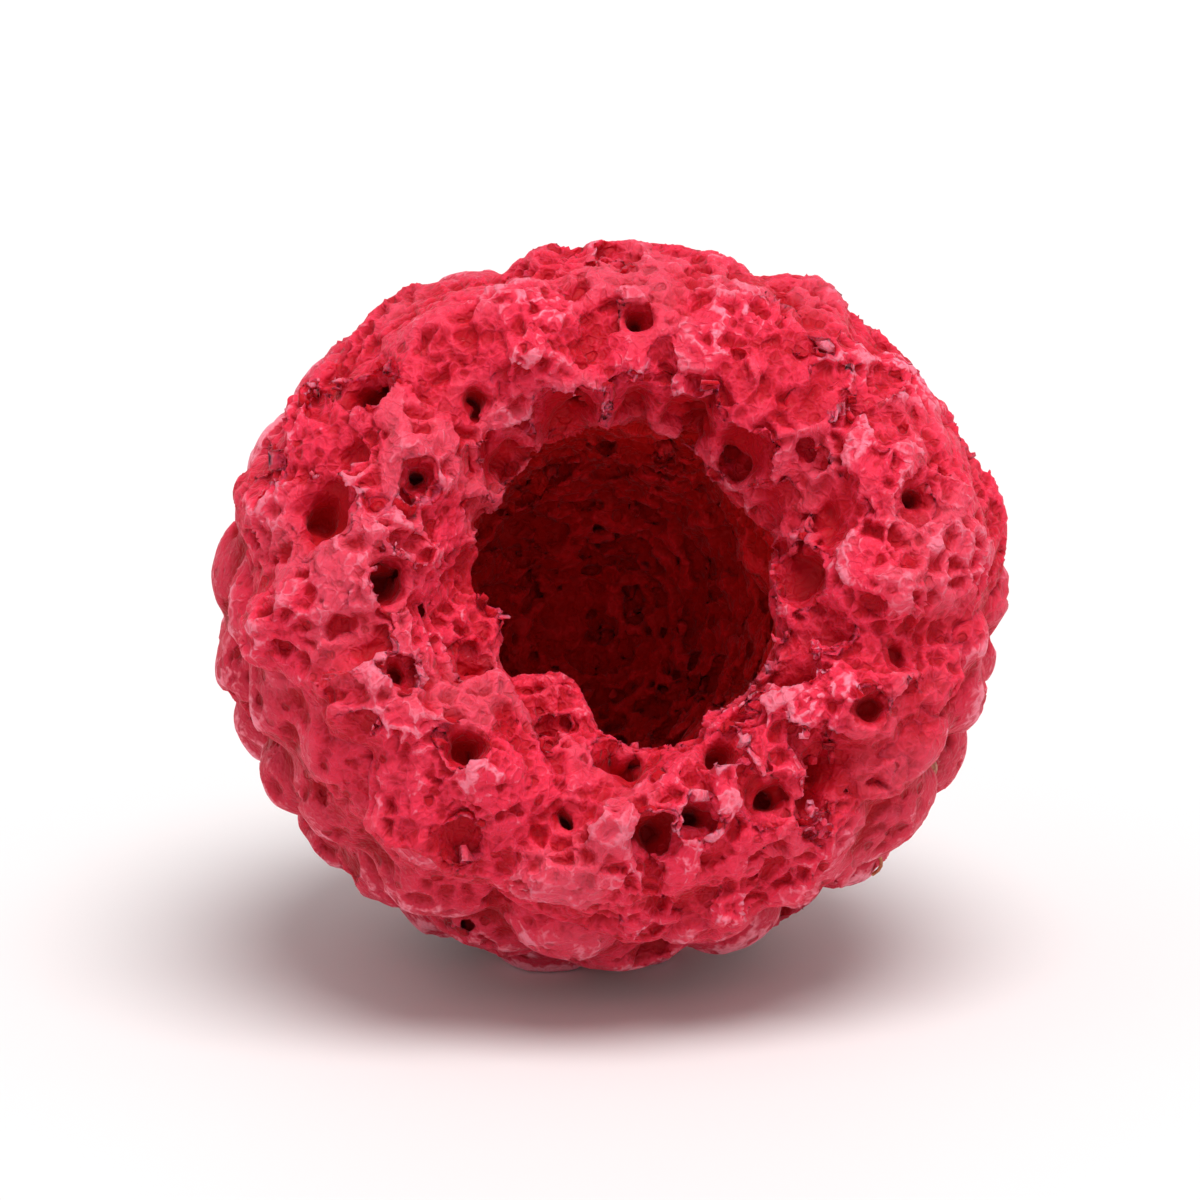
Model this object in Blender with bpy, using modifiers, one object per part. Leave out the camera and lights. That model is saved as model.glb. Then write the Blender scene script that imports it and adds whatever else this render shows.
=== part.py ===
"""A freeze-dried raspberry as one closed solid: a thick cup of fused drupelets, lying on its side.

Run it with: blender --background --python part.py

Units are metres and +Z is up. The berry is first shaped about its own axis, with its open end up, and
is then laid down: its hollow opens towards -Y, tipped upwards, and it rests on the plane z = 0.
"""

import math
import random

import bmesh
import bpy
from mathutils import Matrix, Vector

MM = 0.001

# The berry's outline, along its own axis from the crest of the rim (0) to the tip.
BERRY_LENGTH = 16.6 * MM
WIDEST_RADIUS = 9.55 * MM
WIDEST_AT = 5.4 * MM
RIM_CREST_RADIUS = 6.0 * MM
RIM_TURN = 1.4
TIP_FULLNESS = 0.8
SQUASH = 0.92

# The hollow that the receptacle left.
HOLLOW_RADIUS = 3.35 * MM
HOLLOW_DEPTH = 11.4 * MM
HOLLOW_FULLNESS = 4.5
HOLLOW_OVAL = 1.2
LIP_ROUNDING = 1.6 * MM

# The drupelets, in rings round the axis.
ROW_PITCH = 2.75 * MM
DRUPELET_PITCH = 3.25 * MM
DRUPELET_HALF_WIDTH = 1.9 * MM
DRUPELET_HALF_LENGTH = 1.7 * MM
DRUPELET_HALF_HEIGHT = 1.6 * MM
SIZE_SPREAD = 0.15
PLACE_SPREAD = 0.13
CORE_INSET = 0.95 * MM
LAYOUT_SEED = 11

# How it lies.
AXIS_TILT = math.radians(23)
ROLL = math.radians(9)
CONTACT_DEPTH = 0.34 * MM

# The solid's fineness.
FUSE_VOXEL = 0.38 * MM
KEPT_SHARE = 0.32
OUTLINE_STEPS = 200
CORE_EVERY = 5
CORE_SIDES = 56
HOLLOW_STEPS = 15
HOLLOW_SIDES = 36
WELD = 0.002 * MM

# How far the cutters reach beyond the berry.
ABOVE_RIM = 2.5 * MM
FLOOR_SIDE = 40 * MM
FLOOR_DEPTH = 6 * MM


def clear_scene():
    for obj in list(bpy.data.objects):
        bpy.data.objects.remove(obj)


def collection(name):
    made = bpy.data.collections.new(name)
    bpy.context.scene.collection.children.link(made)
    return made


def outline_point(turn):
    """(radius, distance from the rim's crest) at a turn of 0, the widest place, to 1, the tip.

    The turn is -1 at the crest, and -RIM_TURN where the rim has turned down into the hollow.
    """
    angle = abs(turn) * math.pi / 2
    if turn < 0:
        radius = RIM_CREST_RADIUS + (WIDEST_RADIUS - RIM_CREST_RADIUS) * math.cos(angle)
        return radius, WIDEST_AT * (1 - math.sin(angle))
    radius = WIDEST_RADIUS * max(math.cos(angle), 0) ** TIP_FULLNESS
    return radius, WIDEST_AT + (BERRY_LENGTH - WIDEST_AT) * math.sin(angle)


def outline():
    """Rows of (radius, distance, run length, lean), the lean being 0 sideways and pi/2 at the tip."""
    turns = [(1 + RIM_TURN) * i / OUTLINE_STEPS - RIM_TURN for i in range(OUTLINE_STEPS + 1)]
    points = [outline_point(turn) for turn in turns]
    rows = []
    run = 0.0
    for i, (radius, distance) in enumerate(points):
        before = points[max(i - 1, 0)]
        after = points[min(i + 1, OUTLINE_STEPS)]
        run += math.dist(points[i - 1], points[i]) if i else 0.0
        lean = math.atan2(before[0] - after[0], after[1] - before[1])
        rows.append((radius, distance, run, lean))
    return rows


def drupelets():
    """Each drupelet's matrix, which takes a unit sphere to its lobe: x across, y along, z outwards."""
    chance = random.Random(LAYOUT_SEED)
    profile = outline()
    length = profile[-1][2]
    rows = round(length / ROW_PITCH)
    placed = []
    for row in range(rows + 1):
        run = length * row / rows
        radius, distance, _, lean = min(profile, key=lambda p: abs(p[2] - run))
        count = max(1, round(math.tau * radius / DRUPELET_PITCH))
        for i in range(count):
            across = chance.uniform(-PLACE_SPREAD, PLACE_SPREAD)
            along = chance.uniform(-PLACE_SPREAD, PLACE_SPREAD) * ROW_PITCH
            size = 1 + chance.uniform(-SIZE_SPREAD, SIZE_SPREAD)
            angle = math.tau * (i + 0.5 * (row % 2) + across) / count
            outwards = Vector((math.cos(lean), 0, -math.sin(lean)))
            forwards = Vector((math.sin(lean), 0, math.cos(lean)))
            centre = Vector((radius, 0, -distance)) - outwards * DRUPELET_HALF_HEIGHT + forwards * along
            turn = Matrix((Vector((0, 1, 0)), forwards, outwards)).transposed().to_4x4()
            scale = Matrix.Diagonal(
                (DRUPELET_HALF_WIDTH * size, DRUPELET_HALF_LENGTH * size, DRUPELET_HALF_HEIGHT, 1)
            )
            placed.append(Matrix.Rotation(angle, 4, "Z") @ Matrix.Translation(centre) @ turn @ scale)
    return placed


def hollow_radius(distance):
    """The hollow's radius at a distance from the rim's crest: a blunt-ended cone with a rounded lip."""
    share = min(max(distance, 0) / HOLLOW_DEPTH, 1)
    radius = HOLLOW_RADIUS * math.sqrt(1 - share**HOLLOW_FULLNESS)
    into_lip = max(LIP_ROUNDING - distance, 0)
    return radius + LIP_ROUNDING - math.sqrt(max(LIP_ROUNDING**2 - into_lip**2, 0))


def turned(profile, sides):
    """A closed solid of revolution about Z from (radius, height) points, both ends being on the axis."""
    solid = bmesh.new()
    points = [solid.verts.new((radius, 0, height)) for radius, height in profile]
    edges = [solid.edges.new(pair) for pair in zip(points, points[1:])]
    bmesh.ops.spin(
        solid,
        geom=points + edges,
        cent=(0, 0, 0),
        axis=(0, 0, 1),
        angle=math.tau,
        steps=sides,
        use_merge=True,
    )
    bmesh.ops.remove_doubles(solid, verts=solid.verts, dist=WELD)
    bmesh.ops.recalc_face_normals(solid, faces=solid.faces)
    return solid


def finished_mesh(name, solid):
    mesh = bpy.data.meshes.new(name)
    solid.to_mesh(mesh)
    solid.free()
    return mesh


def hollow_cutter(home):
    """The space inside the berry, carried on past the rim's crest so that it cuts right through."""
    shares = [(1 - math.cos(math.pi * i / HOLLOW_STEPS)) / 2 for i in range(HOLLOW_STEPS)]
    profile = [(0, ABOVE_RIM), (hollow_radius(0), ABOVE_RIM)]
    profile += [(hollow_radius(share * HOLLOW_DEPTH), -share * HOLLOW_DEPTH) for share in shares]
    profile.append((0, -HOLLOW_DEPTH))
    mesh = finished_mesh("hollow_cutter", turned(profile, HOLLOW_SIDES))
    mesh.transform(Matrix.Diagonal((1, HOLLOW_OVAL, 1, 1)))
    cutter = bpy.data.objects.new("hollow_cutter", mesh)
    home.objects.link(cutter)
    return cutter


def core():
    """The flesh under the drupelets: the outline set in, and filled across."""
    profile = []
    for radius, distance, _, lean in outline()[CORE_EVERY:-CORE_EVERY:CORE_EVERY]:
        profile.append((radius - CORE_INSET * math.cos(lean), CORE_INSET * math.sin(lean) - distance))
    profile.insert(0, (0, profile[0][1]))
    profile.append((0, CORE_INSET - BERRY_LENGTH))
    return turned(profile, CORE_SIDES)


def fruit_mesh():
    """The core and every drupelet as overlapping closed shapes in one mesh."""
    joined = core()
    for place in drupelets():
        bmesh.ops.create_icosphere(joined, subdivisions=3, radius=1, matrix=place)
    return finished_mesh("raspberry", joined)


def dried_flesh():
    material = bpy.data.materials.new("dried_flesh")
    material.use_nodes = True
    shader = material.node_tree.nodes["Principled BSDF"]
    shader.inputs["Base Color"].default_value = (0.53, 0.028, 0.06, 1)
    shader.inputs["Roughness"].default_value = 0.62
    shader.inputs["Metallic"].default_value = 0
    return material


def evaluated_box(obj):
    """The lowest and highest corner of an object in the world, with its modifiers."""
    bpy.context.view_layer.update()
    shown = obj.evaluated_get(bpy.context.evaluated_depsgraph_get())
    points = [shown.matrix_world @ vertex.co for vertex in shown.data.vertices]
    low = Vector(min(point[axis] for point in points) for axis in range(3))
    high = Vector(max(point[axis] for point in points) for axis in range(3))
    return low, high


def fuse(obj):
    """Makes one skin of the overlapping shapes, at a fineness that suits a solid."""
    remesh = obj.modifiers.new("fuse", "REMESH")
    remesh.mode = "VOXEL"
    remesh.voxel_size = FUSE_VOXEL
    remesh.use_smooth_shade = True
    decimate = obj.modifiers.new("lighten", "DECIMATE")
    decimate.ratio = KEPT_SHARE


def cut(obj, cutter):
    boolean = obj.modifiers.new(cutter.name, "BOOLEAN")
    boolean.operation = "DIFFERENCE"
    boolean.object = cutter
    cutter.hide_render = True
    cutter.display_type = "WIRE"


def floor_cutter(home):
    """Everything under z = 0, which gives the lowest drupelets their small flats."""
    block = bmesh.new()
    size = Matrix.Diagonal((FLOOR_SIDE, FLOOR_SIDE, FLOOR_DEPTH, 1))
    bmesh.ops.create_cube(block, size=1, matrix=Matrix.Translation((0, 0, -FLOOR_DEPTH / 2)) @ size)
    cutter = bpy.data.objects.new("floor_cutter", finished_mesh("floor_cutter", block))
    home.objects.link(cutter)
    return cutter


def lay_down(obj):
    """Turns the axis from +Z to -Y tipped upwards, and puts the middle of the underside at the origin."""
    squash = Matrix.Diagonal((1, SQUASH, 1, 1))
    turn = Matrix.Rotation(math.pi / 2 - AXIS_TILT, 4, "X")
    obj.data.transform(squash @ Matrix.Rotation(ROLL, 4, "Z"))
    obj.matrix_world = turn
    low, high = evaluated_box(obj)
    middle = (low + high) / 2
    obj.matrix_world = Matrix.Translation((-middle.x, -middle.y, -low.z - CONTACT_DEPTH)) @ turn


def build_raspberry():
    berry_home = collection("raspberry")
    cutter_home = collection("cutters")
    berry = bpy.data.objects.new("raspberry", fruit_mesh())
    berry_home.objects.link(berry)
    berry.data.materials.append(dried_flesh())
    fuse(berry)
    lay_down(berry)
    hollow = hollow_cutter(cutter_home)
    hollow.matrix_world = berry.matrix_world
    cut(berry, hollow)
    cut(berry, floor_cutter(cutter_home))
    return berry


clear_scene()
build_raspberry()
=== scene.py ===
"""A freeze-dried raspberry, seen from in front of its open end.

Its flesh is a distance field that Geometry Nodes work out and skin: fused drupelets, the hollow, and
the cells that the ice left. Inside the trees, lengths are in millimetres.
"""

import math
import random

import bmesh
import bpy
from mathutils import Matrix, Vector
from mathutils.bvhtree import BVHTree


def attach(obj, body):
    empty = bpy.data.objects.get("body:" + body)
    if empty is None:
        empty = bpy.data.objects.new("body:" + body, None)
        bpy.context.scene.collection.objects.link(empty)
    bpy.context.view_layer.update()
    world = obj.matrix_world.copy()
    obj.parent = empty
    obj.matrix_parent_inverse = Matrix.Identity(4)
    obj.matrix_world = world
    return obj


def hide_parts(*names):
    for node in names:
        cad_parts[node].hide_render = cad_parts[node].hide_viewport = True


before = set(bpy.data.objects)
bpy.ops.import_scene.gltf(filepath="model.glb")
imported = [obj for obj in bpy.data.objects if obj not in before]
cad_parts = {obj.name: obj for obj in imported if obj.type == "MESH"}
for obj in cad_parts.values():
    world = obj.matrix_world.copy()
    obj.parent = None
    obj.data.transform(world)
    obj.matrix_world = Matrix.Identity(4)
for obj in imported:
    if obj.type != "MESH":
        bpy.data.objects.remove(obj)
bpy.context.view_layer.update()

MM = 0.001

# The berry's outline along its own axis, from the crest of the rim to the tip.
BERRY_LENGTH = 16.6 * MM
WIDEST_RADIUS = 9.55 * MM
WIDEST_AT = 5.4 * MM
RIM_CREST_RADIUS = 6.0 * MM
RIM_TURN = 1.4
TIP_FULLNESS = 0.8
SQUASH = 0.92
AXIS_TILT = math.radians(23)
ROLL = math.radians(9)
CONTACT_DEPTH = 0.34 * MM

# The drupelets, in rings round the axis.
ROW_PITCH = 2.75 * MM
DRUPELET_PITCH = 3.25 * MM
DRUPELET_HALF_WIDTH = 1.82 * MM
DRUPELET_HALF_LENGTH = 1.64 * MM
DRUPELET_HALF_HEIGHT = 1.6 * MM
SIZE_SPREAD = 0.15
PLACE_SPREAD = 0.13
CORE_INSET = 1.5 * MM
LAYOUT_SEED = 11
OUTLINE_STEPS = 200
CORE_EVERY = 5
CORE_SIDES = 72
WELD = 0.002 * MM
BODY_VOXEL = 0.16 * MM
BODY_SHARE = 0.2
SOFTENING = 240

# The hollow. These and all lengths from here on are in millimetres.
HOLLOW_RADIUS = 3.65
LIP_RADIUS = 3.2
HOLLOW_DEPTH = 11.4
HOLLOW_FULLNESS = 4.5
HOLLOW_OVAL = 1.08
LIP_ROUNDING = 0.9

# The tongue of flesh that is left standing on the hollow's wall.
TONGUE_MIDDLE = Vector((-1.9, -3.0, -2.9))
TONGUE_RADIUS = 1.25

# What smoothing the drupelets takes off the outside, and is put back.
SOFTENING_LOSS = 0.17

# Where along the axis the foam ends at the bottom, how much further back it ends at the top and low in
# the middle, how uneven its edge is, and how far that edge is sunk.
FOAM_EDGE = -1.9
TOP_FOAM_EDGE = 2.4
LOW_FOAM_EDGE = 1.6
EDGE_UNEVENNESS = 2.4
EDGE_SINK = 0.2

# Where the lining of the hollow starts along the axis, and how thick it is.
LINING_START = -4.6
LINING_THICKNESS = 1.3

# How far the skin is set in, runs on under the foam and stays away from the hollow. In front of the
# shell's end it is only so thick, so that it doesn't fill the foam's pits.
SKIN_SET_IN = 0.05
SKIN_OVERLAP = 0.7
SKIN_FROM_HOLLOW = 0.8
SHELL_THICKNESS = 1.1
SHELL_END = -6.5

# The large pits of the open end, in millimetres: across, up, radius and depth.
PITS = [
    (-5.9, 4.6, 0.42, 1.4),
    (-7.1, 1.7, 0.59, 1.1),
    (-5.7, 0.0, 0.38, 1.6),
    (-4.9, 2.3, 0.24, 1.3),
    (-4.1, -3.9, 0.31, 1.4),
    (-1.8, -5.5, 0.22, 1.3),
    (0.2, -6.1, 0.41, 1.4),
    (1.1, -5.7, 0.26, 1.6),
    (3.1, -5.3, 0.38, 1.4),
    (3.9, 0.0, 0.47, 1.6),
    (3.6, -2.3, 0.36, 1.4),
    (4.5, 1.3, 0.53, 0.4),
    (6.6, 1.5, 0.26, 1.1),
    (6.1, -2.0, 0.24, 1.3),
    (0.4, 6.0, 0.26, 1.4),
    (-1.1, 3.5, 0.85, 1.3),
    (0.4, 3.8, 0.5, 1.1),
    (1.5, 3.4, 0.55, 1.2),
    (2.6, 2.7, 0.6, 1.2),
    (3.2, 1.5, 0.4, 0.9),
    (-2.5, 2.9, 0.55, 1.0),
    (-3.1, 1.5, 0.35, 0.8),
    (-0.3, -4.2, 0.36, 1.1),
    (1.7, -4.1, 0.39, 1.1),
    (4.3, -4.8, 0.32, 1.4),
    (5.3, -3.3, 0.27, 1.3),
    (-3.4, 4.2, 0.26, 1.3),
    (-3.6, -1.7, 0.31, 1.1),
    (-5.5, -2.1, 0.23, 1.1),
]

# The berry's box, for looking up its surface only from nearby.
BERRY_MIDDLE = Vector((0, 0, -7.6))
BERRY_HALF_SIZE = Vector((9.5, 8.8, 8.6))
FAR_OUT = 1.5
FAR_IN = 2.2

# Each piece's voxel, and the most triangles it may have.
RIM_VOXEL = 0.1
LINING_VOXEL = 0.12
SKIN_VOXEL = 0.14
MOST_TRIANGLES = 195000
LINING_TRIANGLES = 120000

# The thinnest wall or thread that the flesh keeps.
THINNEST = 0.2

# Each surface's colours: pale ridges, middling, and deep cells. The pale of the ridges is partly painted
# highlight and the deep of the cells partly painted shade.
FOAM_COLOURS = ((0.87, 0.22, 0.31), (0.76, 0.026, 0.072), (0.45, 0.001, 0.01))
SKIN_COLOURS = ((0.84, 0.22, 0.29), (0.58, 0.022, 0.055), (0.34, 0.0008, 0.008))
# Painted sheen: a pale tint over raised lumps and random patches of the foam.
SHEEN_VEIL_COLOUR = (0.65, 0.09, 0.14)
# Painted shade deep in the pits.
PIT_SHADE_COLOUR = (0.42, 0.0008, 0.004)
# Painted shade further into the hollow: a deeper red for its net and its cells.
HOLLOW_SHADE_NET_COLOUR = (0.8, 0.01, 0.02)
HOLLOW_SHADE_CELL_COLOUR = (0.52, 0.0005, 0.001)

# The studio: a pale floor, a pale sky that is brightest low down, and one large soft light.
FLOOR_HALF_SIDE = 1.5
FLOOR_COLOUR = (0.76, 0.73, 0.73)
WORLD_LIGHT = 0.55
KEY_LIGHT = 2.85
KEY_SPREAD = math.radians(40)
KEY_DIRECTION = Vector((-0.1, 0.3, -1.0))

# The camera's place round the berry, in metres, and its lens, in millimetres.
CAMERA_TARGET = Vector((0, 0, 0.0086))
CAMERA_AZIMUTH = math.radians(-7)
CAMERA_ELEVATION = math.radians(15)
CAMERA_DISTANCE = 0.22
CAMERA_LENS = 280


# ---- node trees, written as formulas ----


class Value:
    """A number or a vector in a node tree. Arithmetic on it adds the nodes that work it out."""

    def __init__(self, socket):
        self.socket = socket
        self.tree = socket.node.id_data

    def _with(self, operation, first, second):
        vectors = any(isinstance(v, Value) and v.socket.type == "VECTOR" for v in (first, second))
        kind = "ShaderNodeVectorMath" if vectors else "ShaderNodeMath"
        return add_node(self.tree, kind, (first, second), operation=operation)

    def __add__(self, other):
        return self._with("ADD", self, other)

    def __radd__(self, other):
        return self._with("ADD", other, self)

    def __sub__(self, other):
        return self._with("SUBTRACT", self, other)

    def __rsub__(self, other):
        return self._with("SUBTRACT", other, self)

    def __mul__(self, other):
        return self._with("MULTIPLY", self, other)

    def __truediv__(self, other):
        return self._with("DIVIDE", self, other)

    def __neg__(self):
        return self._with("MULTIPLY", self, -1)

    def out(self, name):
        """Another output of the node that gave this value."""
        return Value(socket_of(self.socket.node.outputs, name))

    def parts(self):
        """The x, y and z of a vector."""
        split = add_node(self.tree, "ShaderNodeSeparateXYZ", (self,))
        return split, split.out("Y"), split.out("Z")


def socket_of(sockets, key):
    """A socket by its number or its name. Of several with the name, it is the one in use."""
    if isinstance(key, int):
        return sockets[key]
    in_use = [socket for socket in sockets if socket.name == key and socket.enabled]
    return in_use[0] if in_use else sockets[key]


def feed(tree, socket, value):
    """Links a worked-out value to an input, or sets the input to a plain one."""
    if isinstance(value, Value):
        tree.links.new(value.socket, socket)
    elif socket.type == "VECTOR" and isinstance(value, (int, float)):
        socket.default_value = (value, value, value)
    elif socket.type == "RGBA":
        socket.default_value = (*value, 1)
    else:
        socket.default_value = value


def add_node(tree, kind, feeds=(), out=0, **settings):
    """Adds a node with its settings and inputs, and returns one of its outputs."""
    node = tree.nodes.new(kind)
    for name, setting in settings.items():
        setattr(node, name, setting)
    for key, value in feeds.items() if isinstance(feeds, dict) else enumerate(feeds):
        feed(tree, socket_of(node.inputs, key), value)
    return Value(socket_of(node.outputs, out))


def number(operation, *values):
    """A sum or a comparison of numbers, some of them worked out in a tree."""
    tree = next(v.tree for v in values if isinstance(v, Value))
    return add_node(tree, "ShaderNodeMath", values, operation=operation)


def smooth_max(first, second, width):
    return number("SMOOTH_MAX", first, second, width)


def fade(value, start, end, low=0.0, high=1.0):
    """Runs smoothly from low, where the value is at start, to high, where it is at end."""
    feeds = (value, start, end, low, high)
    return add_node(value.tree, "ShaderNodeMapRange", feeds, interpolation_type="SMOOTHSTEP")


def dot(first, second):
    feeds = (first, second)
    return add_node(first.tree, "ShaderNodeVectorMath", feeds, out="Value", operation="DOT_PRODUCT")


def length(vector):
    return add_node(vector.tree, "ShaderNodeVectorMath", (vector,), out="Value", operation="LENGTH")


def noise(place, wavelength, detail=2.0, shift=0.0, out="Fac", **settings):
    """A cloudy pattern whose largest blots are a wavelength across; 0.5 on average."""
    feeds = {"Vector": place / wavelength + shift, "Scale": 1.0, "Detail": detail}
    return add_node(place.tree, "ShaderNodeTexNoise", feeds, out=out, **settings)


def cells(place, spacing, shift=0.0, **settings):
    """Distances to scattered centres, with a random colour for each."""
    feeds = {"Vector": place / spacing + shift, "Scale": 1.0}
    return add_node(place.tree, "ShaderNodeTexVoronoi", feeds, **settings)


def attribute(tree, name, kind="FLOAT"):
    return add_node(tree, "GeometryNodeInputNamedAttribute", {"Name": name}, data_type=kind)


def new_tree(name, inputs):
    """A Geometry Nodes tree with a geometry input and output, and the inputs named."""
    tree = bpy.data.node_groups.new(name, "GeometryNodeTree")
    tree.interface.new_socket("Geometry", in_out="INPUT", socket_type="NodeSocketGeometry")
    for label, kind in inputs.items():
        tree.interface.new_socket(label, in_out="INPUT", socket_type="NodeSocket" + kind)
    tree.interface.new_socket("Geometry", in_out="OUTPUT", socket_type="NodeSocketGeometry")
    given = add_node(tree, "NodeGroupInput", out="Geometry")
    return tree, given


def end_tree(tree, geometry, material=None):
    """Ends a tree: instances made real, the material set."""
    real = add_node(tree, "GeometryNodeRealizeInstances", (geometry,))
    if material:
        real = add_node(tree, "GeometryNodeSetMaterial", {"Geometry": real, "Material": material})
    result = tree.nodes.new("NodeGroupOutput")
    tree.links.new(real.socket, result.inputs["Geometry"])


def run_tree(obj, tree, **inputs):
    """Puts a tree on an object with its inputs set, and returns what it makes as a plain mesh object."""
    modifier = obj.modifiers.new(tree.name, "NODES")
    modifier.node_group = tree
    labels = {item.name: item.identifier for item in tree.interface.items_tree if item.in_out == "INPUT"}
    for name, value in inputs.items():
        modifier[labels[name.replace("_", " ").capitalize()]] = value
    return applied(obj)


def applied(obj):
    """Turns an object and its modifiers into a plain mesh."""
    bpy.context.view_layer.update()
    graph = bpy.context.evaluated_depsgraph_get()
    shown = obj.evaluated_get(graph)
    mesh = bpy.data.meshes.new_from_object(shown, preserve_all_data_layers=True, depsgraph=graph)
    obj.modifiers.clear()
    obj.data = mesh
    mesh.name = obj.name
    return obj


def new_object(name, mesh):
    obj = bpy.data.objects.new(name, mesh)
    bpy.context.scene.collection.objects.link(obj)
    return obj


# ---- the fused drupelets ----


def outline_point(turn):
    """(radius, distance from the rim's crest) at a turn of 0, the widest place, to 1, the tip."""
    angle = abs(turn) * math.pi / 2
    if turn < 0:
        radius = RIM_CREST_RADIUS + (WIDEST_RADIUS - RIM_CREST_RADIUS) * math.cos(angle)
        return radius, WIDEST_AT * (1 - math.sin(angle))
    radius = WIDEST_RADIUS * max(math.cos(angle), 0) ** TIP_FULLNESS
    return radius, WIDEST_AT + (BERRY_LENGTH - WIDEST_AT) * math.sin(angle)


def outline():
    """Rows of (radius, distance, run length, lean), the lean being 0 sideways and pi/2 at the tip."""
    turns = [(1 + RIM_TURN) * i / OUTLINE_STEPS - RIM_TURN for i in range(OUTLINE_STEPS + 1)]
    points = [outline_point(turn) for turn in turns]
    rows = []
    run = 0.0
    for i, (radius, distance) in enumerate(points):
        before = points[max(i - 1, 0)]
        after = points[min(i + 1, OUTLINE_STEPS)]
        run += math.dist(points[i - 1], points[i]) if i else 0.0
        lean = math.atan2(before[0] - after[0], after[1] - before[1])
        rows.append((radius, distance, run, lean))
    return rows


def drupelet_layout():
    """A mesh with a point at each drupelet's centre, with its turn and its half sizes."""
    chance = random.Random(LAYOUT_SEED)
    profile = outline()
    run_length = profile[-1][2]
    rows = round(run_length / ROW_PITCH)
    centres, turns, sizes = [], [], []
    for row in range(rows + 1):
        run = run_length * row / rows
        radius, distance, _, lean = min(profile, key=lambda p: abs(p[2] - run))
        count = max(1, round(math.tau * radius / DRUPELET_PITCH))
        for i in range(count):
            across = chance.uniform(-PLACE_SPREAD, PLACE_SPREAD)
            along = chance.uniform(-PLACE_SPREAD, PLACE_SPREAD) * ROW_PITCH
            size = 1 + chance.uniform(-SIZE_SPREAD, SIZE_SPREAD)
            round_axis = Matrix.Rotation(math.tau * (i + 0.5 * (row % 2) + across) / count, 3, "Z")
            outwards = Vector((math.cos(lean), 0, -math.sin(lean)))
            forwards = Vector((math.sin(lean), 0, math.cos(lean)))
            centre = Vector((radius, 0, -distance)) - outwards * DRUPELET_HALF_HEIGHT + forwards * along
            facing = Matrix((Vector((0, 1, 0)), forwards, outwards)).transposed()
            centres.append(round_axis @ centre)
            turns.append((round_axis @ facing).to_quaternion())
            sizes.append((DRUPELET_HALF_WIDTH * size, DRUPELET_HALF_LENGTH * size, DRUPELET_HALF_HEIGHT))
    mesh = bpy.data.meshes.new("drupelet_layout")
    mesh.from_pydata(centres, [], [])
    turn = mesh.attributes.new("turn", "QUATERNION", "POINT")
    turn.data.foreach_set("value", [part for q in turns for part in q])
    size = mesh.attributes.new("half_size", "FLOAT_VECTOR", "POINT")
    size.data.foreach_set("vector", [part for s in sizes for part in s])
    return new_object("drupelet_layout", mesh)


def core_mesh():
    """The flesh under the drupelets: the outline set in, turned about the axis and filled across."""
    profile = []
    for radius, distance, _, lean in outline()[CORE_EVERY:-CORE_EVERY:CORE_EVERY]:
        profile.append((radius - CORE_INSET * math.cos(lean), CORE_INSET * math.sin(lean) - distance))
    profile.insert(0, (0, profile[0][1]))
    profile.append((0, CORE_INSET - BERRY_LENGTH))
    solid = bmesh.new()
    points = [solid.verts.new((radius, 0, height)) for radius, height in profile]
    edges = [solid.edges.new(pair) for pair in zip(points, points[1:])]
    bmesh.ops.spin(
        solid,
        geom=points + edges,
        cent=(0, 0, 0),
        axis=(0, 0, 1),
        angle=math.tau,
        steps=CORE_SIDES,
        use_merge=True,
    )
    bmesh.ops.remove_doubles(solid, verts=solid.verts, dist=WELD)
    bmesh.ops.recalc_face_normals(solid, faces=solid.faces)
    mesh = bpy.data.meshes.new("core")
    solid.to_mesh(mesh)
    solid.free()
    return mesh


def drupelet_tree():
    """Puts a ball at each point of the layout, turned and sized by its attributes, and joins the core."""
    tree, given = new_tree("drupelet cluster", {"Layout": "Object", "Fineness": "Int"})
    ball = add_node(
        tree, "GeometryNodeMeshIcoSphere", {"Radius": 1.0, "Subdivisions": given.out("Fineness")}
    )
    layout = add_node(tree, "GeometryNodeObjectInfo", {"Object": given.out("Layout")}, out="Geometry")
    turn = add_node(tree, "GeometryNodeInputNamedAttribute", {"Name": "turn"}, data_type="QUATERNION")
    size = add_node(
        tree, "GeometryNodeInputNamedAttribute", {"Name": "half_size"}, data_type="FLOAT_VECTOR"
    )
    feeds = {"Points": layout, "Instance": ball, "Rotation": turn, "Scale": size}
    balls = add_node(tree, "GeometryNodeInstanceOnPoints", feeds)
    joined = add_node(tree, "GeometryNodeJoinGeometry")
    tree.links.new(given.socket, joined.socket.node.inputs[0])
    tree.links.new(balls.socket, joined.socket.node.inputs[0])
    end_tree(tree, joined)
    return tree


def berry_body():
    """The berry before its hollow, in its own frame and millimetres: every drupelet and the core as one
    skin, and the same with its drupelets smoothed. Also where it lies: the matrix from that frame."""
    body = new_object("body", core_mesh())
    layout = drupelet_layout()
    run_tree(body, drupelet_tree(), layout=layout, fineness=4)
    bpy.data.objects.remove(layout)
    body.data.transform(Matrix.Diagonal((1, SQUASH, 1, 1)) @ Matrix.Rotation(ROLL, 4, "Z"))
    fuse = body.modifiers.new("fuse", "REMESH")
    fuse.mode = "VOXEL"
    fuse.voxel_size = BODY_VOXEL
    fuse.use_smooth_shade = True
    applied(body)
    turn = Matrix.Rotation(math.pi / 2 - AXIS_TILT, 4, "X")
    low, high = box_of(body, turn)
    middle = (low + high) / 2
    place = Matrix.Translation((-middle.x, -middle.y, -low.z - CONTACT_DEPTH))
    body.data.transform(Matrix.Scale(1 / MM, 4))
    smooth_body = new_object("smooth_body", body.data.copy())
    smooth_body.modifiers.new("soften", "SMOOTH").iterations = SOFTENING
    for shape in (body, smooth_body):
        shape.modifiers.new("lighten", "DECIMATE").ratio = BODY_SHARE
        applied(shape)
    return body, smooth_body, place @ turn @ Matrix.Scale(MM, 4)


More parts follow.
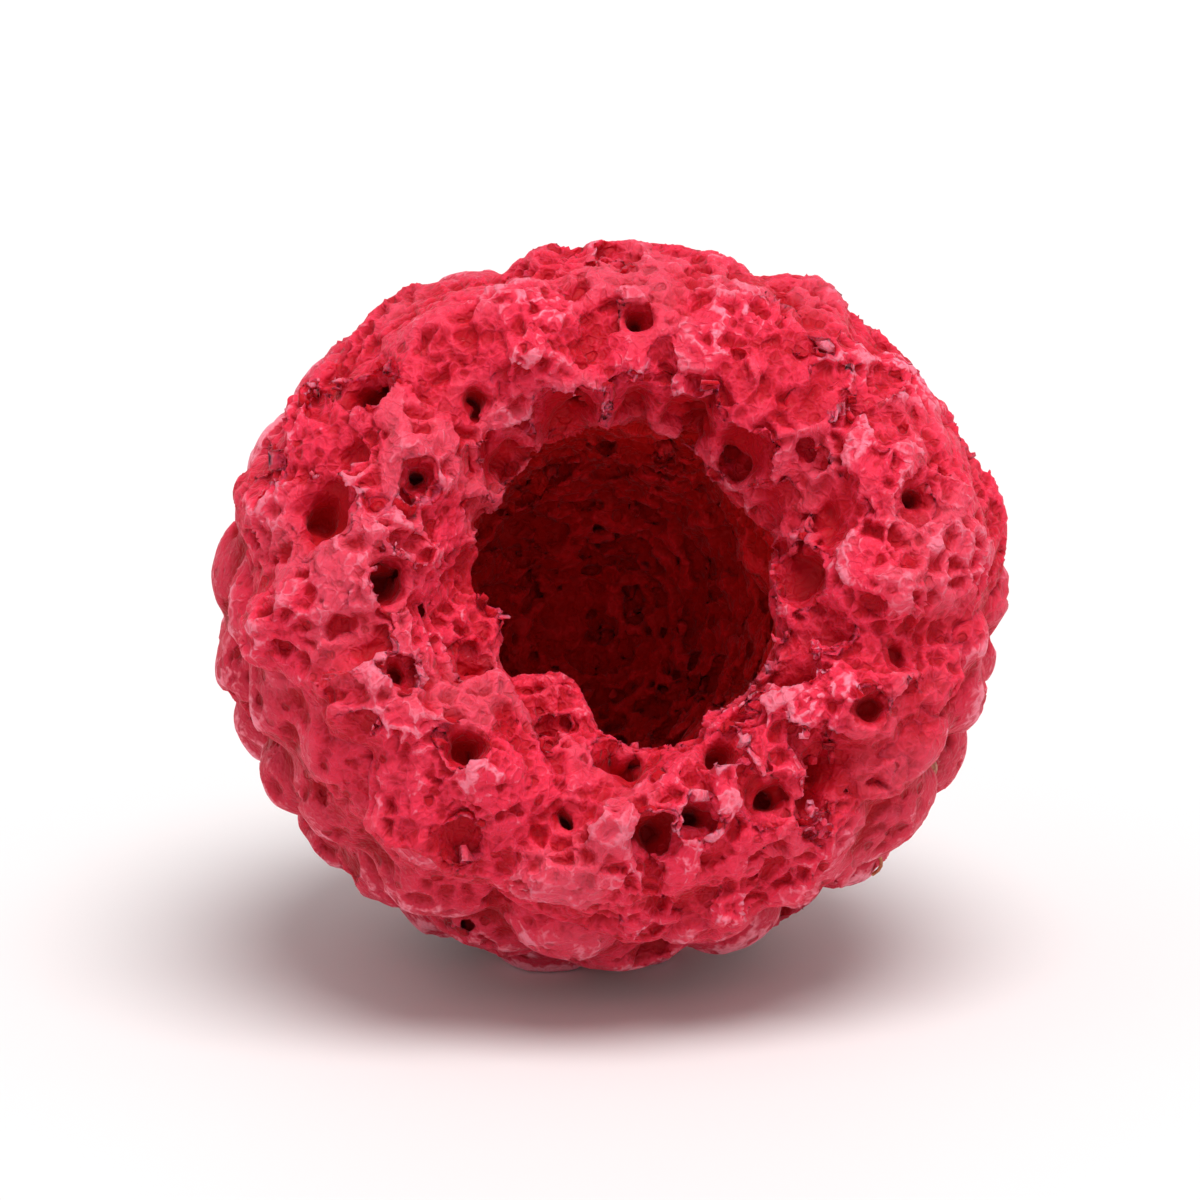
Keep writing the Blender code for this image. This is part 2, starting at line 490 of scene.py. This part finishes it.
def box_of(obj, matrix):
    points = [matrix @ vertex.co for vertex in obj.data.vertices]
    low = Vector(min(point[axis] for point in points) for axis in range(3))
    high = Vector(max(point[axis] for point in points) for axis in range(3))
    return low, high


# ---- the flesh: distances in millimetres, positive outside it, in the berry's own frame ----


def body_distance(place, body):
    """Distance from a fused body. Far away it is only roughly right, which is quicker to look up."""
    tree = place.tree
    from_middle = place - BERRY_MIDDLE
    outside = (length(from_middle / BERRY_HALF_SIZE) - 1.0) * BERRY_HALF_SIZE.z
    beyond = number("MAXIMUM", outside - FAR_OUT, 0.0) + number("MINIMUM", outside + FAR_IN, 0.0)
    close = place - from_middle * (beyond / length(from_middle))
    near = add_node(tree, "GeometryNodeProximity", {"Target": body, "Source Position": close})
    normal = add_node(tree, "GeometryNodeInputNormal")
    feeds = {"Mesh": body, "Value": normal, "Sample Position": close}
    outwards = add_node(tree, "GeometryNodeSampleNearestSurface", feeds, data_type="FLOAT_VECTOR")
    side = number("SIGN", dot(close - near, outwards))
    return near.out("Distance") * side + beyond


def hollow_depth(place):
    """Distance from the hollow's wall, positive in the flesh. The hollow is narrowest at its lip."""
    x, y, z = place.parts()
    flat = add_node(place.tree, "ShaderNodeCombineXYZ", (x, y / HOLLOW_OVAL, 0.0))
    radius = fade(z, -1.6, -5.0, LIP_RADIUS, HOLLOW_RADIUS)
    share = number("MAXIMUM", -z / HOLLOW_DEPTH, 0.0)
    reach = length(flat) / radius
    squared = reach * reach + number("POWER", share, HOLLOW_FULLNESS)
    return (number("SQRT", squared) - 1.0) * radius


def warped(place, wavelength, amount, shift):
    """The place moved about a little, which makes whatever is worked out there uneven."""
    return place + (noise(place, wavelength, out="Color", shift=shift) - 0.5) * amount


def carve(flesh, bubble, deepest, edge=0.05):
    """Takes a bubble away from the flesh, no deeper than a limit under the surface."""
    shallow = number("SMOOTH_MIN", bubble, flesh + deepest, 0.12)
    return smooth_max(flesh, shallow, edge)


def open_cells(flesh, place, spacing, wall, deepest, share, shift):
    """Opens a share of the cells of a foam to random depths, with thin walls between them."""
    gap = cells(place, spacing, shift, feature="DISTANCE_TO_EDGE") * spacing
    size, chosen, _ = cells(place, spacing, shift).out("Color").parts()
    depth = (0.25 + size * 0.75) * deepest * number("LESS_THAN", chosen, share)
    return carve(flesh, gap - wall, depth)


def dimples(place, spacing, deepest, share, shift):
    """How deep a share of the cells of a foam sink, like bowls with sharp walls between them."""
    gap = cells(place, spacing, shift, feature="DISTANCE_TO_EDGE")
    size, chosen, _ = cells(place, spacing, shift).out("Color").parts()
    depth = (0.3 + size * 0.7) * deepest * number("LESS_THAN", chosen, share)
    part = number("MINIMUM", gap / 0.36, 1.0)
    return part * (2.0 - part) * depth


def pit_bubbles(place, pits):
    """The large pits: each a blunt finger hole from its point, along its direction."""
    tree = place.tree
    feeds = {"Geometry": pits, "Sample Position": place}
    nearest = add_node(tree, "GeometryNodeSampleNearest", feeds, domain="POINT")

    def of_nearest(value, kind):
        feeds = {"Geometry": pits, "Value": value, "Index": nearest}
        return add_node(tree, "GeometryNodeSampleIndex", feeds, data_type=kind, domain="POINT")

    mouth = of_nearest(add_node(tree, "GeometryNodeInputPosition"), "FLOAT_VECTOR")
    inwards = of_nearest(attribute(tree, "inwards", "FLOAT_VECTOR"), "FLOAT_VECTOR")
    radius = of_nearest(attribute(tree, "radius"), "FLOAT")
    depth = of_nearest(attribute(tree, "depth"), "FLOAT")
    offset = place - mouth
    along = number("MINIMUM", number("MAXIMUM", dot(offset, inwards), 0.0), depth)
    narrowing = fade(along / depth, 0.0, 1.0, 1.25, 0.45)
    return radius * narrowing - length(offset - inwards * along)


def cell_net(place, spacing, width, shift):
    """A net of thin walls: 1 on the walls, falling to 0 in the cells."""
    gap = cells(place, spacing, shift, feature="DISTANCE_TO_EDGE")
    return fade(gap, 0.0, width, 1.0, 0.0)


def drawn_out(place):
    """The place with the distances along the radius halved: cells worked out there are long that way."""
    x, y, _ = place.parts()
    flat = add_node(place.tree, "ShaderNodeCombineXYZ", (x, y, 0.0))
    return place * number("POWER", number("MAXIMUM", length(flat), 1.5) / 6.0, -0.5)


def whole_foam(place, smooth_body):
    """The foam before its cells: (outside and hollow joined, the hollow alone)."""
    x, _, _ = place.parts()
    body = body_distance(warped(place, 3.2, 0.7, 1.0), smooth_body)
    lumps = noise(place, 2.3, detail=1.0, shift=11.0) - 0.5
    body = body - SOFTENING_LOSS - lumps * fade(x, 2.0, -4.0, 1.1, 1.8)
    hollow = hollow_depth(warped(warped(place, 2.6, 2.2, 3.0), 1.1, 0.8, 6.0))
    tongue = TONGUE_RADIUS - length(warped(place, 1.1, 0.8, 6.0) - TONGUE_MIDDLE)
    hollow = smooth_max(hollow, tongue, 0.3)
    return smooth_max(body, -hollow, LIP_ROUNDING), hollow


def between_lumps(place):
    """How far the foam sinks between its soft lumps, out to where the lining takes over."""
    _, _, z = place.parts()
    lump = cells(warped(place, 1.2, 1.0, 41.0), 1.9, 42.0)
    return (number("MINIMUM", lump * lump, 0.6) * 0.85 - 0.25) * fade(z, -4.4, -3.4)


def cut_cells(flesh, hollow, place, pits):
    """The foam with its pits and its larger cells, of which there are more towards +X and at the lip."""
    x, _, z = place.parts()
    uneven = warped(place, 1.0, 0.8, 7.0)
    lip = fade(hollow, 1.3, 0.5) * fade(z, -4.0, -2.0)
    flesh = carve(flesh, pit_bubbles(warped(place, 0.8, 0.9, 12.0), pits), 3.4, 0.12)
    flesh = open_cells(flesh, uneven, 1.15, 0.22, 0.9, 0.06 + lip * 0.35, 4.0)
    return open_cells(flesh, drawn_out(uneven), 0.75, 0.13, 0.6, fade(x, -4.5, 0.0, 0.14, 0.3), 13.0)


def foam_relief(place, depth):
    """How far the foam's surface is sunk by its shallow cells and crinkles, less inside its pits."""
    uneven = warped(warped(place, 1.1, 0.7, 7.0), 0.35, 0.16, 8.0)
    crinkle = noise(uneven, 0.9, detail=3.0, noise_type="RIDGED_MULTIFRACTAL", normalize=False)
    sunk = dimples(uneven, 0.56, 0.34, 0.6, 9.0) + dimples(uneven, 0.3, 0.09, 1.0, 2.0) - 0.05
    return (sunk - (crinkle - 1.0) * 0.17) * fade(depth, 0.25, 0.6, 1.0, 0.15)


def skin_relief(place, depth):
    """How far the skin is sunk by its wrinkles and small cells."""
    uneven = warped(warped(place, 1.1, 0.6, 27.0), 0.35, 0.2, 28.0)
    crinkle = noise(uneven, 1.0, detail=4.0, noise_type="RIDGED_MULTIFRACTAL", normalize=False)
    sunk = dimples(uneven, 0.6, 0.22, 0.5, 29.0) - (crinkle - 1.0) * 0.17
    return sunk * fade(depth, 0.25, 0.7, 1.0, 0.35)


def foam_edge(place):
    """How far along the axis the torn foam reaches round the berry's side, which is uneven."""
    x, y, _ = place.parts()
    low_middle = fade(number("ABSOLUTE", x), 5.5, 2.5) * fade(y, 0.0, -4.0)
    edge = FOAM_EDGE - fade(y, -4.0, 4.0, 0.0, TOP_FOAM_EDGE) - low_middle * LOW_FOAM_EDGE
    return edge + (noise(place, 1.8, detail=1.0, shift=17.0) - 0.5) * EDGE_UNEVENNESS


def rim_foam(place, shapes):
    """The pale torn foam of the open end, with a ragged edge round the side of the berry."""
    _, _, z = place.parts()
    whole, hollow = whole_foam(place, shapes["Smooth body"])
    side = foam_edge(place) - z
    inside = LINING_START - z
    behind = number("MAXIMUM", side * 0.5, number("MINIMUM", inside, 1.5 - hollow))
    lumpy = whole + between_lumps(place)
    celled = cut_cells(lumpy, hollow, place, shapes["Pits"])
    flesh = lumpy + (celled - lumpy) * fade(side, -1.1, -0.4, 1.0, 0.0)
    flesh = flesh + fade(side, -1.3, 0.0) * EDGE_SINK
    # How far into the hollow a place lies, for the painted shade there.
    down = fade(hollow, 1.6, 0.5) * fade(z, -1.4, -4.5)
    torn = fade(side, -1.6, 0.0, 1.0, 0.6)
    return smooth_max(flesh, behind, 0.3), whole, behind, {"down": down, "torn": torn}


def hollow_lining(place, shapes):
    """The dark netted wall of the hollow, below the rim."""
    _, _, z = place.parts()
    whole, hollow = whole_foam(place, shapes["Smooth body"])
    flesh = cut_cells(whole, hollow, place, shapes["Pits"])
    flesh = flesh + fade(z, LINING_START - 0.1, LINING_START + 0.5, 0.0, 0.4)
    limits = number("MAXIMUM", hollow - LINING_THICKNESS, z - LINING_START - 0.8)
    # The lining gets the painted hollow shade, more the further in it lies.
    marks = {"down": fade(z, -1.4, -4.5), "torn": 1.0}
    return smooth_max(flesh, limits, 0.2), whole, limits, marks


def outer_skin(place, shapes):
    """The wrinkled drupelets of the sides and the tip, sunk where the foam lies over them."""
    _, _, z = place.parts()
    uneven = warped(place, 0.9, 0.4, 27.0)
    whole = body_distance(warped(place, 2.6, 0.45, 21.0), shapes["Body"])
    lumps = noise(place, 1.3, shift=31.0) - 0.5
    whole = whole + SKIN_SET_IN - lumps * 0.4
    past_edge = z - foam_edge(place)
    celled = open_cells(whole, uneven, 1.2, 0.14, 0.9, 0.09, 24.0)
    skin = whole + (celled - whole) * fade(past_edge, -1.5, -0.6, 1.0, 0.0)
    skin = skin + fade(past_edge, 0.0, 0.7) * 0.3
    under_foam = number("MINIMUM", -whole - SHELL_THICKNESS, z - SHELL_END)
    limits = number("MAXIMUM", past_edge - SKIN_OVERLAP, SKIN_FROM_HOLLOW - hollow_depth(place))
    limits = number("MAXIMUM", limits, under_foam)
    # The skin gets no painted hollow shade.
    marks = {"down": 0.0, "torn": fade(past_edge, -2.4, 0.2, 0.0, 0.6)}
    return smooth_max(skin, limits, 0.2), whole, limits, marks


def marked_mesh(tree, mesh, place, marks, limits):
    """Marks a mesh, and works out how far each place stands up from those close round it, as "raised",
    and from those further off, as "hilly", which fades out towards the piece's limits."""
    normal = add_node(tree, "GeometryNodeInputNormal")

    def above_surroundings(reach):
        feeds = {"Value": place, "Iterations": reach}
        evened = add_node(tree, "GeometryNodeBlurAttribute", feeds, data_type="FLOAT_VECTOR")
        return dot(place - evened, normal)

    marks["raised"] = above_surroundings(10)
    marks["hilly"] = above_surroundings(70) * fade(limits, -0.9, -0.3, 1.0, 0.0)
    for name, value in marks.items():
        feeds = {"Geometry": mesh, "Name": name, "Value": value}
        mesh = add_node(tree, "GeometryNodeStoreNamedAttribute", feeds, data_type="FLOAT", domain="POINT")
    return mesh


def flesh_tree(name, field, relief, upwards, height, material):
    """A tree that skins a field, flat where it rests on the floor, and keeps only its largest piece.

    It is skinned a little inside the flesh and then swelled, so that threads and crumbs are lost."""
    bodies = ("Body", "Smooth body", "Pits")
    inputs = dict.fromkeys(bodies, "Object")
    inputs.update({"Lowest corner": "Vector", "Highest corner": "Vector", "Voxel": "Float"})
    tree, given = new_tree(name, inputs)
    place = add_node(tree, "GeometryNodeInputPosition")
    shapes = {
        label: add_node(tree, "GeometryNodeObjectInfo", {"Object": given.out(label)}, out="Geometry")
        for label in bodies
    }
    flesh, whole, limits, marks = field(place, shapes)
    flesh = number("MAXIMUM", flesh, -height - dot(place, upwards))
    low, high = given.out("Lowest corner"), given.out("Highest corner")
    feeds = {"Density": -flesh, "Background": -1.0, "Min": low, "Max": high}
    for axis, steps in zip("XYZ", ((high - low) / given.out("Voxel")).parts()):
        feeds["Resolution " + axis] = number("ROUND", steps)
    volume = add_node(tree, "GeometryNodeVolumeCube", feeds)
    feeds = {"Volume": volume, "Threshold": THINNEST / 2}
    skin = add_node(tree, "GeometryNodeVolumeToMesh", feeds, resolution_mode="GRID")
    skin = largest_island(tree, skin)
    feeds = {"Value": place, "Iterations": 2}
    evened = add_node(tree, "GeometryNodeBlurAttribute", feeds, data_type="FLOAT_VECTOR")
    feeds = {"Geometry": skin, "Position": evened}
    skin = add_node(tree, "GeometryNodeSetPosition", feeds)
    above_floor = fade(dot(place, upwards) + height, 0.05, 0.4)
    sunk = relief(place, -whole) * above_floor * fade(limits, -0.25, -0.05, 1.0, 0.0)
    normal = add_node(tree, "GeometryNodeInputNormal")
    feeds = {"Geometry": skin, "Offset": normal * (-sunk + THINNEST / 2)}
    skin = add_node(tree, "GeometryNodeSetPosition", feeds)
    marks["depth"] = -whole
    end_tree(tree, marked_mesh(tree, skin, place, marks, limits), material)
    return tree


def largest_island(tree, mesh):
    """Drops the crumbs and the sealed cells, and keeps the one skin that has the most points."""
    island = add_node(tree, "GeometryNodeInputMeshIsland")
    size = add_node(tree, "GeometryNodeAccumulateField", {"Value": 1.0, "Group ID": island}, out="Total")
    feeds = {"Geometry": mesh, "Attribute": size}
    most = add_node(tree, "GeometryNodeAttributeStatistic", feeds, out="Max")
    feeds = {"Geometry": mesh, "Selection": number("LESS_THAN", size, most - 0.5)}
    return add_node(tree, "GeometryNodeDeleteGeometry", feeds, domain="POINT")


def pit_points(body):
    """The large pits as points on the open end, each with its direction, radius and depth."""
    solid = bmesh.new()
    solid.from_mesh(body.data)
    surface = BVHTree.FromBMesh(solid)
    solid.free()
    mouths, directions, radii, depths = [], [], [], []
    for x, y, radius, depth in PITS:
        mouth, normal, _, _ = surface.ray_cast(Vector((x, y, 4.0)), Vector((0, 0, -1)))
        mouths.append(mouth)
        directions.extend((Vector((0, 0, -1)) * 1.2 - normal).normalized())
        radii.append(radius)
        depths.append(depth)
    mesh = bpy.data.meshes.new("pits")
    mesh.from_pydata(mouths, [], [])
    mesh.attributes.new("inwards", "FLOAT_VECTOR", "POINT").data.foreach_set("vector", directions)
    mesh.attributes.new("radius", "FLOAT", "POINT").data.foreach_set("value", radii)
    mesh.attributes.new("depth", "FLOAT", "POINT").data.foreach_set("value", depths)
    return new_object("pits", mesh)


def make_flesh(material):
    """The three pieces of flesh, laid on the floor."""
    body, smooth_body, laid = berry_body()
    pits = pit_points(smooth_body)
    upwards = Vector(laid[2][:3]) / MM
    height = laid[2][3] / MM
    made = []
    for name, (field, relief, low, high, voxel, most) in FLESH_PIECES.items():
        tree = flesh_tree(name.replace("_", " "), field, relief, upwards, height, material)
        piece = new_object(name, bpy.data.meshes.new(name))
        run_tree(
            piece,
            tree,
            body=body,
            smooth_body=smooth_body,
            pits=pits,
            lowest_corner=low,
            highest_corner=high,
            voxel=voxel,
        )
        triangles = sum(len(face.vertices) - 2 for face in piece.data.polygons)
        piece.modifiers.new("lighten", "DECIMATE").ratio = min(1.0, most / triangles)
        applied(piece)
        piece.data.transform(laid)
        piece.data.shade_smooth()
        made.append(piece)
    for helper in (body, smooth_body, pits):
        bpy.data.objects.remove(helper)
    return made


# Each piece's field and relief, its box's corners, its voxel and the most triangles it may have.
FLESH_PIECES = {
    "rim_foam": (
        rim_foam,
        foam_relief,
        (-10.2, -9.5, -6.6),
        (10.2, 9.5, 1.0),
        RIM_VOXEL,
        MOST_TRIANGLES,
    ),
    "hollow_lining": (
        hollow_lining,
        foam_relief,
        (-5.0, -5.4, -13.2),
        (5.0, 5.4, -3.4),
        LINING_VOXEL,
        LINING_TRIANGLES,
    ),
    "outer_skin": (
        outer_skin,
        skin_relief,
        (-10.2, -9.5, -17.2),
        (10.2, 9.5, -0.9),
        SKIN_VOXEL,
        MOST_TRIANGLES,
    ),
}


# ---- the dried styles and the seeds ----


def scattered(tree, skin, small_shape, given, tilt):
    """Puts a small shape at scattered places in the skin's creases, leaning over at random."""
    _, _, height = add_node(tree, "GeometryNodeInputPosition").parts()
    in_crease = number("LESS_THAN", attribute(tree, "hilly"), given.out("Highest"))
    feeds = {
        "Mesh": skin,
        "Selection": in_crease * number("GREATER_THAN", height, 2 * MM),
        "Density": given.out("Density"),
        "Seed": given.out("Seed"),
    }
    points = add_node(tree, "GeometryNodeDistributePointsOnFaces", feeds, distribute_method="RANDOM")
    spin = add_node(
        tree,
        "FunctionNodeRandomValue",
        {"Min": (-tilt, -tilt, 0.0), "Max": (tilt, tilt, math.tau), "Seed": given.out("Seed")},
        out="Value",
        data_type="FLOAT_VECTOR",
    )
    turned = add_node(
        tree,
        "FunctionNodeRotateRotation",
        {"Rotation": points.out("Rotation"), "Rotate By": spin},
        rotation_space="LOCAL",
    )
    feeds = {"Min": 0.65, "Max": 1.2, "Seed": given.out("Seed")}
    size = add_node(tree, "FunctionNodeRandomValue", feeds, out="Value", data_type="FLOAT")
    feeds = {"Points": points, "Instance": small_shape, "Rotation": turned, "Scale": size}
    return add_node(tree, "GeometryNodeInstanceOnPoints", feeds)


def styles_tree(material):
    """Thin dried threads, each bent over, on the skin."""
    inputs = {"Skin": "Object", "Length": "Float", "Thickness": "Float", "Highest": "Float"}
    inputs.update({"Density": "Float", "Seed": "Int"})
    tree, given = new_tree("dried styles", inputs)
    skin = add_node(tree, "GeometryNodeObjectInfo", {"Object": given.out("Skin")}, out="Geometry")
    long = given.out("Length")
    corners = [
        add_node(tree, "ShaderNodeCombineXYZ", (long * along, long * aside, long * up))
        for along, aside, up in ((-0.1, 0.0, -0.25), (0.35, 0.3, 0.35), (0.95, 0.0, 0.08))
    ]
    feeds = dict(zip(("Start", "Middle", "End"), corners))
    feeds["Resolution"] = 6
    thread = add_node(tree, "GeometryNodeCurveQuadraticBezier", feeds)
    feeds = {"Resolution": 5, "Radius": given.out("Thickness") / 2.0}
    section = add_node(tree, "GeometryNodeCurvePrimitiveCircle", feeds)
    feeds = {"Curve": thread, "Profile Curve": section, "Fill Caps": True}
    tube = add_node(tree, "GeometryNodeCurveToMesh", feeds)
    end_tree(tree, scattered(tree, skin, tube, given, 0.5), material)
    return tree


def seeds_tree(material):
    """Small pointed seeds, sunk more than halfway into the skin's creases."""
    inputs = {"Skin": "Object", "Length": "Float", "Thickness": "Float", "Highest": "Float"}
    inputs.update({"Density": "Float", "Seed": "Int"})
    tree, given = new_tree("seeds", inputs)
    skin = add_node(tree, "GeometryNodeObjectInfo", {"Object": given.out("Skin")}, out="Geometry")
    ball = add_node(tree, "GeometryNodeMeshUVSphere", {"Segments": 10, "Rings": 7, "Radius": 0.5})
    place = add_node(tree, "GeometryNodeInputPosition")
    x, y, z = place.parts()
    narrow = fade(x, 0.0, 0.5, 1.0, 0.55)
    long, thick = given.out("Length"), given.out("Thickness")
    drop = add_node(
        tree, "ShaderNodeCombineXYZ", (x * long, y * narrow * thick, z * narrow * thick - thick * 0.22)
    )
    drop = add_node(tree, "GeometryNodeSetPosition", {"Geometry": ball, "Position": drop})
    end_tree(tree, scattered(tree, skin, drop, given, 0.5), material)
    return tree


def grown_on(skin, name, tree, **inputs):
    """A piece of many small shapes that grow on the skin."""
    piece = new_object(name, bpy.data.meshes.new(name))
    run_tree(piece, tree, skin=skin, **inputs)
    piece.data.shade_smooth()
    return piece


# ---- finish ----


def point_value(tree, name):
    """A value that the flesh is marked with."""
    return add_node(tree, "ShaderNodeAttribute", out="Fac", attribute_name=name)


def mixed(amount, first, second):
    """A colour between two."""
    feeds = {"Factor": amount, "A": first, "B": second}
    return add_node(amount.tree, "ShaderNodeMix", feeds, out="Result", data_type="RGBA")


def banded(height, pale, middling, deep):
    """A colour that is pale where the height is least and deep where it is most."""
    colour = mixed(fade(height, -0.2, 0.02), pale, middling)
    return mixed(fade(height, 0.06, 0.5), colour, deep)


def flesh_material():
    """Dried flesh: pale on its ridges and deep in its cells, partly painted highlight and painted shade,
    with a pale painted sheen on its lumps, painted shade deep in its pits, and a nearly black-red painted
    shade further into the hollow. The torn foam is pinker than the skin."""
    material = bpy.data.materials.new("dried_flesh")
    material.use_nodes = True
    tree = material.node_tree
    shader = tree.nodes["Principled BSDF"]
    place = add_node(tree, "ShaderNodeTexCoord", out="Object") / MM
    depth = number("MAXIMUM", point_value(tree, "depth"), -0.1)
    torn, hilly = point_value(tree, "torn"), point_value(tree, "hilly")
    uneven = warped(warped(place, 0.7, 0.45, 3.0), 0.25, 0.18, 4.0)
    fine = cell_net(uneven, 0.3, 0.2, 1.0) * fade(torn, 0.0, 1.0, 0.15, 0.3)
    fibres = noise(uneven, 0.5, detail=4.0, noise_type="RIDGED_MULTIFRACTAL", normalize=False)
    felt = noise(uneven, 0.16, detail=2.0, shift=12.0) - 0.5
    patches = noise(place, 2.2, detail=3.0, shift=5.0)
    pinhole = cells(uneven, 0.42, 8.0)
    chosen, _, _ = pinhole.out("Color").parts()
    pinholes = fade(pinhole, 0.36, 0.22) * number("LESS_THAN", chosen, 0.35)
    grain = fine + fibres * 0.55 + felt - pinholes * 0.7
    grain = grain * fade(depth, 0.3, 0.9, 1.0, 0.4)
    # The colour is paler where a place stands up from its surroundings and deeper where it is sunk, on
    # small ridges and on large lumps alike: painted highlight on the raised places and painted shade in
    # the sunk ones. The grain and the random patches add real tone; the darkened pinholes in the grain
    # are painted shade.
    raised = number("MINIMUM", point_value(tree, "raised"), 0.045) * (patches * 6.0 - 0.4)
    raised = raised * fade(depth, 0.15, 0.5, 1.0, 0.2)
    height = depth * 0.4 - raised - (grain - 0.55) * 0.4 - (patches - 0.5) * 0.5
    height = height - hilly * fade(torn, 0.0, 1.0, 0.9, 0.6)
    foam = banded(height, *FOAM_COLOURS)
    # Painted sheen: the foam made paler on its large raised lumps and in random patches.
    painted_sheen = fade(noise(place, 2.6, detail=1.0, shift=15.0) + hilly, 0.48, 0.7, 0.0, 0.45)
    foam = mixed(painted_sheen * fade(depth, 0.6, 0.2), foam, SHEEN_VEIL_COLOUR)
    colour = mixed(torn, banded(height, *SKIN_COLOURS), foam)
    # Painted shade: the colour darkens the deeper a place lies in a pit.
    colour = mixed(fade(depth, 0.5, 1.3), colour, PIT_SHADE_COLOUR)
    # Painted shade further into the hollow: a deeper red net and cells.
    shaded_hollow_colour = mixed(fade(height, -0.2, 0.3), HOLLOW_SHADE_NET_COLOUR, HOLLOW_SHADE_CELL_COLOUR)
    colour = mixed(point_value(tree, "down"), colour, shaded_hollow_colour)
    tree.links.new(colour.socket, shader.inputs["Base Color"])
    bump = add_node(tree, "ShaderNodeBump", {"Height": grain, "Strength": 1.0, "Distance": 0.09 * MM})
    tree.links.new(bump.socket, shader.inputs["Normal"])
    rough = fade(noise(place, 0.18, shift=9.0), 0.62, 0.72, 0.6, 0.22)
    tree.links.new(rough.socket, shader.inputs["Roughness"])
    shader.inputs["Subsurface Weight"].default_value = 0.5
    shader.inputs["Subsurface Radius"].default_value = (1.0, 0.06, 0.06)
    shader.inputs["Subsurface Scale"].default_value = 0.4 * MM
    shader.inputs["Specular IOR Level"].default_value = 0.15
    shader.inputs["Sheen Weight"].default_value = 0.06
    shader.inputs["Sheen Roughness"].default_value = 0.4
    shader.inputs["Sheen Tint"].default_value = (1.0, 0.7, 0.75, 1)
    return material


def dry_material(name, pale, dark, grain):
    """A dry woody finish, mottled and finely furrowed."""
    material = bpy.data.materials.new(name)
    material.use_nodes = True
    tree = material.node_tree
    shader = tree.nodes["Principled BSDF"]
    place = add_node(tree, "ShaderNodeTexCoord", out="Object") / MM
    mottle = noise(place, grain * 4, detail=3.0)
    furrows = cell_net(warped(place, grain * 2, grain, 2.0), grain, 0.3, 1.0)
    colour = mixed(fade(mottle - furrows * 0.15, 0.3, 0.65), dark, pale)
    tree.links.new(colour.socket, shader.inputs["Base Color"])
    feeds = {"Height": furrows, "Strength": 0.7, "Distance": grain * 0.3 * MM}
    tree.links.new(add_node(tree, "ShaderNodeBump", feeds).socket, shader.inputs["Normal"])
    shader.inputs["Roughness"].default_value = 0.5
    return material


def plain_material(name, colour, roughness):
    material = bpy.data.materials.new(name)
    material.use_nodes = True
    shader = material.node_tree.nodes["Principled BSDF"]
    shader.inputs["Base Color"].default_value = (*colour, 1)
    shader.inputs["Roughness"].default_value = roughness
    return material


def studio():
    mesh = bpy.data.meshes.new("floor")
    plane = bmesh.new()
    bmesh.ops.create_grid(plane, x_segments=1, y_segments=1, size=FLOOR_HALF_SIDE)
    plane.to_mesh(mesh)
    plane.free()
    floor = new_object("floor", mesh)
    mesh.materials.append(plain_material("pale_floor", FLOOR_COLOUR, 0.6))
    world = bpy.data.worlds.new("studio")
    world.use_nodes = True
    tree = world.node_tree
    background = tree.nodes["Background"]
    _, _, up = add_node(tree, "ShaderNodeTexCoord", out="Generated").parts()
    tree.links.new(fade(up, 0.15, 0.4, 1.0, WORLD_LIGHT).socket, background.inputs["Strength"])
    background.inputs["Color"].default_value = (1, 1, 1, 1)
    bpy.context.scene.world = world
    light = bpy.data.lights.new("soft_key", "SUN")
    light.energy = KEY_LIGHT
    light.angle = KEY_SPREAD
    key = bpy.data.objects.new("soft_key", light)
    key.rotation_euler = KEY_DIRECTION.to_track_quat("-Z", "Y").to_euler()
    bpy.context.scene.collection.objects.link(key)
    bpy.context.scene.view_settings.view_transform = "Standard"


def place_camera():
    camera = bpy.data.cameras.new("camera")
    camera.lens = CAMERA_LENS
    camera.clip_start = 0.01
    obj = bpy.data.objects.new("camera", camera)
    bpy.context.scene.collection.objects.link(obj)
    level = math.cos(CAMERA_ELEVATION)
    direction = Vector(
        (
            math.sin(CAMERA_AZIMUTH) * level,
            -math.cos(CAMERA_AZIMUTH) * level,
            math.sin(CAMERA_ELEVATION),
        )
    )
    obj.location = CAMERA_TARGET + direction * CAMERA_DISTANCE
    obj.rotation_euler = (-direction).to_track_quat("-Z", "Y").to_euler()
    bpy.context.scene.camera = obj


rim, lining, skin = make_flesh(flesh_material())
style_finish = dry_material("dried_styles", (0.8, 0.42, 0.16), (0.5, 0.13, 0.05), 0.12)
seed_finish = dry_material("seeds", (0.64, 0.27, 0.14), (0.42, 0.09, 0.05), 0.16)
styles = grown_on(
    skin,
    "dried_styles",
    styles_tree(style_finish),
    length=1.3 * MM,
    thickness=0.11 * MM,
    highest=-0.03,
    density=70000.0,
    seed=4,
)
seeds = grown_on(
    skin,
    "seeds",
    seeds_tree(seed_finish),
    length=1.15 * MM,
    thickness=0.65 * MM,
    highest=-0.1,
    density=45000.0,
    seed=9,
)
for piece, slot in (
    (rim, "dried_flesh"),
    (lining, "dried_flesh"),
    (skin, "dried_flesh"),
    (styles, "dried_styles"),
    (seeds, "seeds"),
):
    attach(piece, "root")
for piece in (rim, lining, skin):
    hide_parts("raspberry")
studio()
place_camera()
